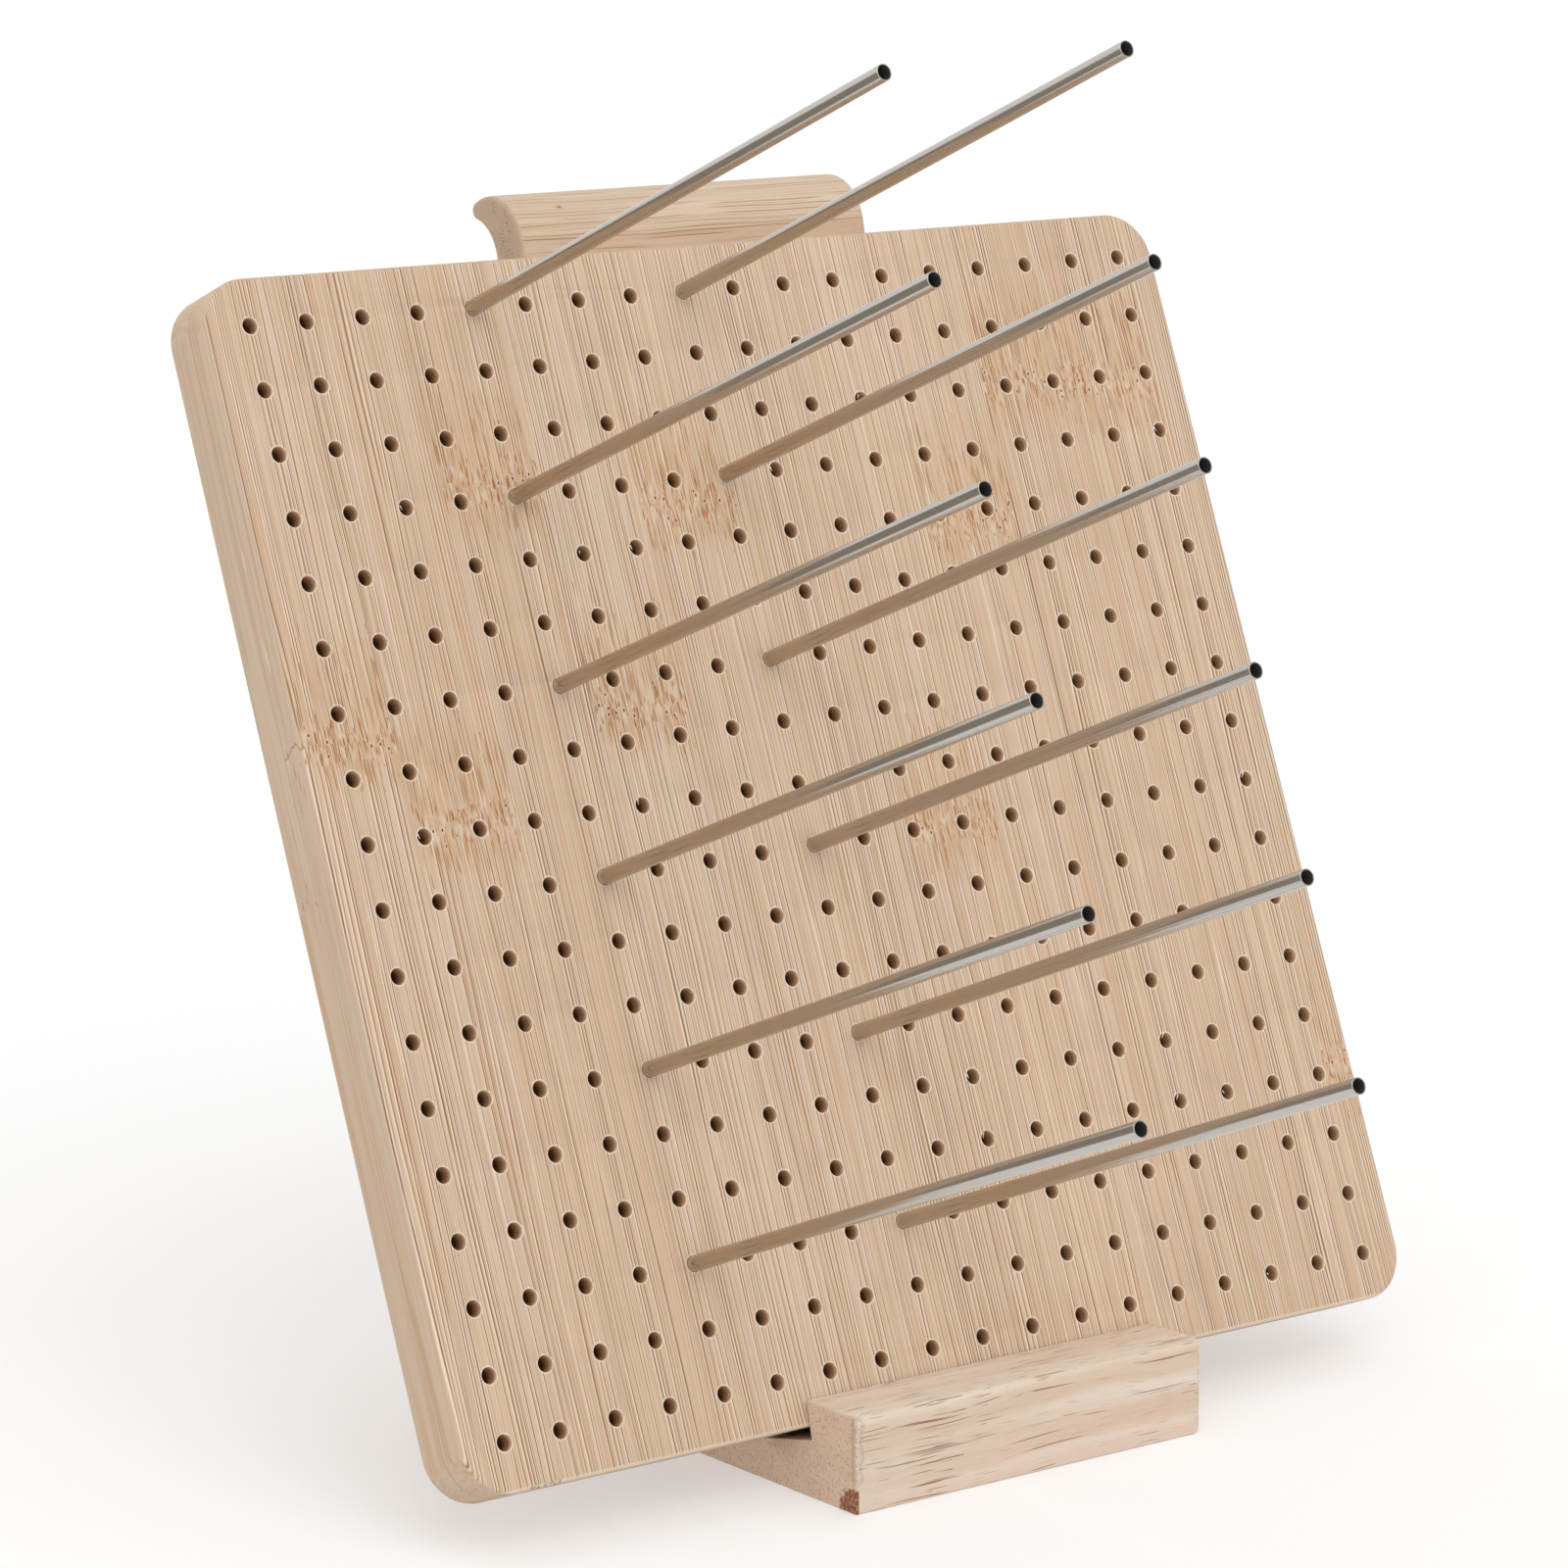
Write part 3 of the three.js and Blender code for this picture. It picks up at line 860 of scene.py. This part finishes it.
def bamboo_strips(tree):
    """Sanded bamboo strips: pinstripes, a tone for each strip, ragged node bands, pale hole rims."""
    place = places(tree, board_lean, grid_centre)
    sideways, depth, upwards = apart(tree, place)
    back_ply = fade(tree, depth, ply_seam / MM - 0.01, ply_seam / MM + 0.01)
    across = times_plus(tree, back_ply, back_ply_aside, sideways)
    up = times_plus(tree, back_ply, back_ply_up, upwards)
    tone, node, seed = strip_facts(tree, across)
    above = minus(tree, up, node)
    waver = grains(tree, place, (4.5, 4.5, 400), 2.0, 0.6)
    level = times_plus(tree, minus(tree, waver, 0.5), node_waver, above)
    past_node = maths(tree, "GREATER_THAN", level, 0.0)
    band = times(tree, fade(tree, level, -5.0, -2.0), fade(tree, level, 5.5, 1.5))
    swirl = grains(tree, place, (1.8, 1.8, 7.0), 2.0, 0.6)
    swirl = times(tree, minus(tree, swirl, 0.5), band)
    jump = times_plus(tree, seed, strip_shift, times(tree, past_node, node_shift))
    shifted = plus(tree, across, plus(tree, swirl, jump))
    grain = point(tree, shifted, depth, up)
    at_face = fade(tree, depth, 0.6, 0.2)
    at_back = fade(tree, depth, board_thickness / MM - 0.6, board_thickness / MM - 0.2)
    flanks = times_plus(tree, larger(tree, at_face, at_back), 0.88, 0.12)
    half = board_side / 2 / MM
    at_ends = fade(tree, maths(tree, "ABSOLUTE", upwards), half - 0.7, half - 0.2)

    drift = grains(tree, grain, (9, 3, 130))
    cut = times_plus(tree, drift, 4.0, shifted)
    broken = fade(tree, grains(tree, grain, (0.9, 3, 26), 1.0), 0.24, 0.46)
    lines, groove_highlights = pinstripes(tree, cut, broken, 0.78, 0.25)
    hairs, _ = pinstripes(tree, cut, broken, 0.47, 0.2)
    broad = grains(tree, grain, (5.0, 5.0, 160))
    streaks = grains(tree, grain, (0.32, 0.32, 24), 3.0, 0.6)
    flecks = grains(tree, grain, (0.25, 0.25, 2.6), 2.0, 0.6)
    warmth = grains(tree, grain, (0.9, 2, 90))
    clouds = grains(tree, place, (60, 60, 90), 1.0)
    crowds = fade(tree, grains(tree, grain, (3.4, 3.4, 240)), 0.34, 0.56)
    crowds = larger(tree, crowds, fade(tree, across, 4.0 - half, 2.5 - half))

    colour = dyed(tree, tone, srgb(213, 184, 155), srgb(226, 203, 178))
    colour = mottled(tree, colour, (broad, 0.07), (streaks, 0.13), (flecks, 0.07), (clouds, 0.05))
    warm = fade(tree, warmth, 0.5, 0.68)
    colour = stained(tree, colour, warm, 0.45, srgb(212, 166, 124))
    crowded = times_plus(tree, crowds, 0.35, 0.65)
    off_node = times_plus(tree, band, -0.55, 1.0)
    marked = times(tree, times_plus(tree, tone, -0.3, 1.1), crowded, off_node, flanks)
    # Painted highlight: a pale line next to each dark line, on the groove's edge.
    colour = stained(tree, colour, groove_highlights, times(tree, marked, 0.95), srgb(251, 235, 212))
    colour = stained(tree, colour, hairs, times(tree, marked, 0.65), srgb(180, 138, 102))
    # The dark lines are fibre bundles and also painted shade in their grooves.
    colour = stained(tree, colour, lines, marked, srgb(138, 92, 58))
    dots, rings = fibre_ends(tree, shifted, depth, 0.75, 0.3)
    end_colour = dyed(tree, broad, srgb(192, 163, 137), srgb(220, 192, 164))
    end_colour = stained(tree, end_colour, rings, 0.4, srgb(220, 196, 170))
    end_colour = stained(tree, end_colour, dots, 0.7, srgb(158, 120, 90))
    colour = dyed(tree, at_ends, colour, end_colour)
    # Painted highlight: a pale line along the bottom front edge only, where the eased edge would catch light
    # from the floor.
    lower_arris_highlight = times(tree, fade(tree, upwards, 0.9 - half, 0.5 - half), fade(tree, depth, 0.9, 0.5))
    colour = stained(tree, colour, lower_arris_highlight, 0.7, srgb(240, 222, 200))

    near = times(tree, fade(tree, above, 26.0, 6.0), fade(tree, above, -13.0, -4.0), flanks)
    band = times(tree, band, flanks)
    blotches = grains(tree, grain, (0.8, 0.8, 14), 3.0, 0.6)
    blush = times(tree, near, fade(tree, blotches, 0.36, 0.7))
    colour = stained(tree, colour, blush, 0.65, srgb(206, 162, 116))
    long_dashes = dashes(tree, grain, (0.4, 0.4, 9), 0.4, times(tree, near, 0.75))
    colour = stained(tree, colour, long_dashes, 0.8, srgb(170, 116, 68))
    bleached = grains(tree, grain, (2.0, 2.0, 4.0))
    bleached = times(tree, band, fade(tree, bleached, 0.5, 0.66))
    colour = stained(tree, colour, bleached, 0.7, srgb(228, 206, 184))
    short_dashes = dashes(tree, grain, (0.4, 0.4, 4.2), 0.42, times(tree, band, 0.9))
    shown = times_plus(tree, bleached, -0.5, 1.0)
    colour = stained(tree, colour, short_dashes, shown, srgb(172, 106, 54))
    flat = point(tree, across, up)
    distance, number = cells(tree, flat, (1.9, 3.2, 1), "2D")
    eyed = times(tree, maths(tree, "LESS_THAN", number, 0.3), band, at_face)
    eyes = times(tree, fade(tree, distance, 0.13, 0.07), eyed)
    halos = times(tree, fade(tree, distance, 0.3, 0.16), eyed)
    colour = stained(tree, colour, halos, 0.5, srgb(226, 200, 172))
    colour = dyed(tree, eyes, colour, srgb(86, 50, 30))

    pitch = hole_pitch / MM
    cell = in_cell(tree, flat, (pitch, pitch, 1))
    middle = (pitch / 2, pitch / 2, 0)
    reach = add(tree, "ShaderNodeVectorMath", {0: cell, 1: middle}, operation="DISTANCE").outputs["Value"]
    fuzz = grains(tree, place, (0.5, 0.5, 0.5), 2.0, 0.7)
    ring = fade(tree, times_plus(tree, fuzz, 0.8, reach), 2.45, 2.1)
    patchy = fade(tree, grains(tree, place, (1.5, 1.5, 1.5), 1.0), 0.3, 0.6)
    rim = times(tree, ring, at_face, times_plus(tree, patchy, 0.7, 0.3))
    colour = stained(tree, colour, rim, 0.95, srgb(243, 226, 203))

    seam = between(tree, depth, ply_seam / MM)
    front_ply = minus(tree, 1.0, back_ply)
    left_side = times(tree, fade(tree, across, 0.3 - half, -half), front_ply)
    crack = times(tree, fade(tree, maths(tree, "ABSOLUTE", level), 0.3, 0.1), left_side)
    colour = stained(tree, colour, crack, 0.6, srgb(150, 112, 84))
    from_tear = between(tree, up, tear_height)
    torn = times(tree, fade(tree, seam, 2.2, 0.6), left_side, fade(tree, from_tear, 24, 16))
    slivers = dashes(tree, grain, (0.9, 0.9, 9), 0.4, torn)
    colour = stained(tree, colour, slivers, 0.8, srgb(238, 217, 188))
    nick_across = fade(tree, maths(tree, "ABSOLUTE", plus(tree, across, nick_left)), 4.0, 3.0)
    nick_up = fade(tree, up, 1.1 - half, 0.4 - half)
    nick = times(tree, nick_across, nick_up, fade(tree, fuzz, 0.5, 0.6))
    colour = stained(tree, colour, nick, 0.8, srgb(84, 68, 56))
    glue = fade(tree, seam, 0.16, 0.04)
    colour = stained(tree, colour, glue, 0.45, srgb(164, 132, 104))

    height = times_plus(tree, lines, -0.03, times(tree, streaks, 0.03))
    height = times_plus(tree, plus(tree, short_dashes, long_dashes), -0.03, height)
    height = times_plus(tree, eyes, -0.03, height)
    height = times_plus(tree, rim, 0.03, height)
    return bare_wood(tree, colour, times_plus(tree, streaks, 0.2, 0.5), height)


def drilled_wood(tree):
    """The wall of a drilled hole: fibres cut across, with the rings that the drill leaves, pale near the
    mouth as a painted highlight and darker deeper in as painted shade.
    """
    place = places(tree, board_lean, grid_centre)
    depth = apart(tree, place)[1]
    fibres = grains(tree, place, (0.3, 0.3, 2.4), 2.0, 0.6)
    rings = grains(tree, place, (3, 0.35, 3))
    # Painted light and shade: pale near the mouth where the wall would be lit, darker deeper in where shade
    # falls.
    colour = dyed(tree, fade(tree, depth, 0.1, 1.6), srgb(240, 209, 176), srgb(194, 154, 116))
    colour = dyed(tree, fade(tree, depth, 1.8, 4.0), colour, srgb(120, 87, 63))
    colour = mottled(tree, colour, (fibres, 0.3), (rings, 0.18))
    height = times_plus(tree, fibres, 0.08, times(tree, rings, 0.08))
    return bare_wood(tree, colour, times_plus(tree, fibres, 0.2, 0.6), height)


def splintering(tree, given):
    """Leaves a pale splinter, still held by the wood, across the mouth of a few of the holes, but
    none in the two columns that the tubes stand in."""
    seed, radius, width = given["Seed"], given["Radius"], given["Width"]
    grid = hole_grid(tree, given)
    x = apart(tree, shape(tree, "InputPosition"))[0]
    from_left = between(tree, x, given["Left Tubes"])
    from_right = between(tree, x, given["Right Tubes"])
    clear = maths(tree, "GREATER_THAN", maths(tree, "MINIMUM", from_left, from_right), radius)
    chosen = add(tree, "FunctionNodeRandomValue", {6: given["Share"], 8: seed}, data_type="BOOLEAN")
    chosen = times(tree, chosen.outputs[3], clear)
    half_width = times(tree, width, 0.5)
    splinter = shape(tree, "MeshCone", {
        "Vertices": 6, "Side Segments": 3, "Radius Bottom": half_width,
        "Radius Top": times(tree, half_width, 0.25), "Depth": given["Length"],
    })
    root = point(tree, times(tree, radius, -0.45), times(tree, radius, 0.95), times(tree, width, -0.4))
    splinter = shape(tree, "Transform", {
        "Geometry": splinter, "Translation": root, "Rotation": (splinter_lean, 0, 0),
    })
    turn = random_turn(tree, (0, 0, -0.5), (0, 0, 0.9), plus(tree, seed, 1.0))
    size = random_vector(tree, (0.8, 0.5, 0.8), (1.2, 1.0, 1.2), plus(tree, seed, 2.0))
    splinters = shape(tree, "InstanceOnPoints", {
        "Points": grid, "Selection": chosen, "Instance": splinter, "Rotation": turn, "Scale": size,
    })
    return in_material(tree, splinters, given["Wood"])


board = undrilled_board("bamboo_board")
board.data = baked(board, drilling, {
    "Pitch": hole_pitch, "Holes": holes_per_side, "Radius": hole_radius, "Rim": hole_rim,
    "Wear": hole_wear, "Depth": hole_depth, "Tip": drill_tip, "Sides": hole_sides, "Weld": weld,
    "Wood": new_material(bamboo_strips), "Hole Wall": new_material(drilled_wood),
})
facing_out(board.data, 35)
board.data.transform(board_place)
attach(board, "board")
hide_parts("board")

tube_nodes = sorted(name for name in frame["nodes"] if name.startswith("tube_row_"))
tube_columns = sorted({int(name.rsplit("_", 1)[1]) for name in tube_nodes})
left_tubes, right_tubes = [(column - (holes_per_side + 1) / 2) * hole_pitch for column in tube_columns]
splinters = grown("hole_splinters", splintering, {
    "Pitch": hole_pitch, "Holes": holes_per_side, "Radius": hole_radius, "Share": splinter_share,
    "Length": splinter_length, "Width": splinter_width, "Left Tubes": left_tubes,
    "Right Tubes": right_tubes, "Seed": 3, "Wood": bleached_fibres,
})
facing_out(splinters.data, 60)
splinters.data.transform(board_place)
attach(splinters, "board")

# The tubes are thin-walled stainless steel, drawn, cut to one length and deburred. Each is pushed
# into its hole by hand and holds by its fit alone, so it pulls straight out again.
tube_length = 150 * MM
tube_diameter = 3.2 * MM
tube_wall = 0.25 * MM
tube_deburr = 0.08 * MM
tube_sides = 48


def tube_drawing(tree, given):
    """Sweeps the wall's section, its four corners deburred, round a circle."""
    across = minus(tree, given["Diameter"], given["Wall"])
    path = shape(tree, "CurvePrimitiveCircle", {
        "Resolution": given["Sides"], "Radius": times(tree, across, 0.5),
    })
    section = shape(tree, "CurvePrimitiveQuadrilateral", {"Width": given["Wall"], "Height": given["Length"]})
    section = {"Curve": section, "Radius": given["Deburr"], "Count": 3}
    section = shape(tree, "FilletCurve", section, mode="POLY")
    swept = shape(tree, "CurveToMesh", {"Curve": path, "Profile Curve": section})
    return in_material(tree, swept, given["Steel"])


def drawn_steel(tree):
    """Satin stainless steel, drawn along the tube, tinted warm towards the board as a painted reflection of
    the wood.
    """
    place = places(tree, board_lean, grid_centre)
    lines = grains(tree, place, (0.14, 60, 0.14), 3.0, 0.6)
    smears = grains(tree, place, (2.0, 9.0, 2.0))
    colour = dyed(tree, lines, srgb(188, 184, 178), srgb(204, 200, 194))
    # Painted reflection: warmer towards the board, standing in for the wood that the steel reflects.
    board_reflection_tint = fade(tree, apart(tree, place)[1], -110, -20)
    colour = dyed(tree, board_reflection_tint, colour, srgb(190, 179, 165))
    roughness = times_plus(tree, smears, 0.08, times_plus(tree, lines, 0.06, 0.13))
    values = {"Base Color": colour, "Metallic": 1.0, "Roughness": roughness}
    return textured(tree, times(tree, lines, 0.002), values)


def painted_shade_bore(tree):
    """The inside of a tube, painted dark and dull to stand for the shade deep in the bore."""
    place = places(tree, board_lean, grid_centre)
    scale = grains(tree, place, (0.3, 6.0, 0.3), 3.0, 0.6)
    return add(tree, "ShaderNodeBsdfPrincipled", {
        "Base Color": dyed(tree, scale, srgb(54, 53, 52), srgb(84, 82, 80)),
        "Roughness": times_plus(tree, scale, 0.2, 0.6),
        "Specular IOR Level": 0.1,
    }).outputs[0]


tube_maker = grown("tube_maker", tube_drawing, {
    "Length": tube_length, "Diameter": tube_diameter, "Wall": tube_wall, "Deburr": tube_deburr,
    "Sides": tube_sides, "Steel": new_material(drawn_steel),
})
tube_mesh = tube_maker.data
bpy.data.objects.remove(tube_maker)
# The tube's inner wall gets a painted dark shade in place of bright steel.
tube_mesh.materials.append(new_material(painted_shade_bore))
facing_out(tube_mesh, 40)
for face in tube_mesh.polygons:
    middle = Vector(face.center[:2])
    if middle.length < tube_diameter / 2 - tube_wall * 0.8 and Vector(face.normal[:2]).dot(middle) < 0:
        face.material_index = 1

for node in tube_nodes:
    low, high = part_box(node)
    place = board_place.copy()
    place.translation = (low + high) / 2
    mesh = tube_mesh.copy()
    mesh.name = "steel_" + node
    mesh.transform(place)
    tube = placed("steel_" + node, mesh)
    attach(tube, node)
    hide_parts(node)

# The studio is a wide white floor under soft white light, seen from the left and a little above.
# Two dark cards show in the steel alone: one left of the board, one on the photographer's right.
floor_size = 60
floor_colour = (0.8, 0.8, 0.8, 1)
floor_glow = 0.27
sky_strength = 0.78
lamp_strength = 0.75
lamp_spread = math.radians(50)
lamp_towards = Vector((0.2, 0.7, -0.68))
camera_at = Vector((-0.6927, -0.8815, 0.3416))
camera_aim = Vector((-0.0114, 0.0127, 0.1281))
camera_roll = math.radians(-0.11)
camera_lens = 132.5
card_shade = (0.34, 0.30, 0.26, 1.0)


def seen_white(tree):
    """1 for what the camera sees straight or in a mirror or glass, and 0 for soft light."""
    path = add(tree, "ShaderNodeLightPath").outputs
    straight = larger(tree, path["Is Camera Ray"], path["Is Glossy Ray"])
    return larger(tree, straight, path["Is Transmission Ray"])


def white_floor(tree):
    """A matt white that reads as white to the camera and still takes the shadow."""
    matt = add(tree, "ShaderNodeBsdfDiffuse", {"Color": floor_colour}).outputs[0]
    glow = add(tree, "ShaderNodeEmission", {
        "Color": (1, 1, 1, 1), "Strength": times(tree, seen_white(tree), floor_glow),
    }).outputs[0]
    return add(tree, "ShaderNodeAddShader", {0: matt, 1: glow}).outputs[0]


def dark_card(tree):
    """An even dark warm grey."""
    return add(tree, "ShaderNodeEmission", {"Color": card_shade, "Strength": 1.0}).outputs[0]


def sheet_of(name, corners, surface):
    """A flat sheet in the studio, which isn't part of the board."""
    mesh = bpy.data.meshes.new(name)
    mesh.from_pydata(corners, [], [(0, 1, 2, 3)])
    mesh.materials.append(new_material(surface))
    sheet = placed(name, mesh)
    return sheet


half = floor_size / 2
sheet_of("floor", [(-half, -half, 0), (half, -half, 0), (half, half, 0), (-half, half, 0)], white_floor)
left_card = [(-0.24, -0.12, 0.001), (-0.24, 1.1, 0.001), (-0.24, 1.1, 0.3), (-0.24, -0.12, 0.3)]
right_card = [(0.3, -1.3, 0.3), (1.1, -0.6, 0.3), (1.1, -0.6, 1.1), (0.3, -1.3, 1.1)]
for name, corners in (("left_card", left_card), ("right_card", right_card)):
    card = sheet_of(name, corners, dark_card)
    for rays in ("camera", "diffuse", "shadow", "transmission"):
        setattr(card, "visible_" + rays, False)

world = bpy.data.worlds.new("studio")
world.use_nodes = True
bpy.context.scene.world = world
sky = world.node_tree
sky.nodes.clear()
soft = add(sky, "ShaderNodeBackground", {"Color": (1, 1, 1, 1), "Strength": sky_strength}).outputs[0]
white = add(sky, "ShaderNodeBackground", {"Color": (1, 1, 1, 1), "Strength": 1.0}).outputs[0]
either = add(sky, "ShaderNodeMixShader", {0: seen_white(sky), 1: soft, 2: white}).outputs[0]
add(sky, "ShaderNodeOutputWorld", {0: either})

lamp = bpy.data.lights.new("soft_lamp", "SUN")
lamp.energy = lamp_strength
lamp.angle = lamp_spread
soft_lamp = placed("soft_lamp", lamp)
soft_lamp.rotation_euler = lamp_towards.to_track_quat("-Z", "Y").to_euler()

camera_data = bpy.data.cameras.new("camera")
camera_data.lens = camera_lens
camera = placed("camera", camera_data)
camera.location = camera_at
sight = (camera_aim - camera_at).to_track_quat("-Z", "Y") @ Quaternion((0, 0, 1), camera_roll)
camera.rotation_euler = sight.to_euler()
bpy.context.scene.camera = camera

bpy.context.scene.view_settings.view_transform = "Standard"
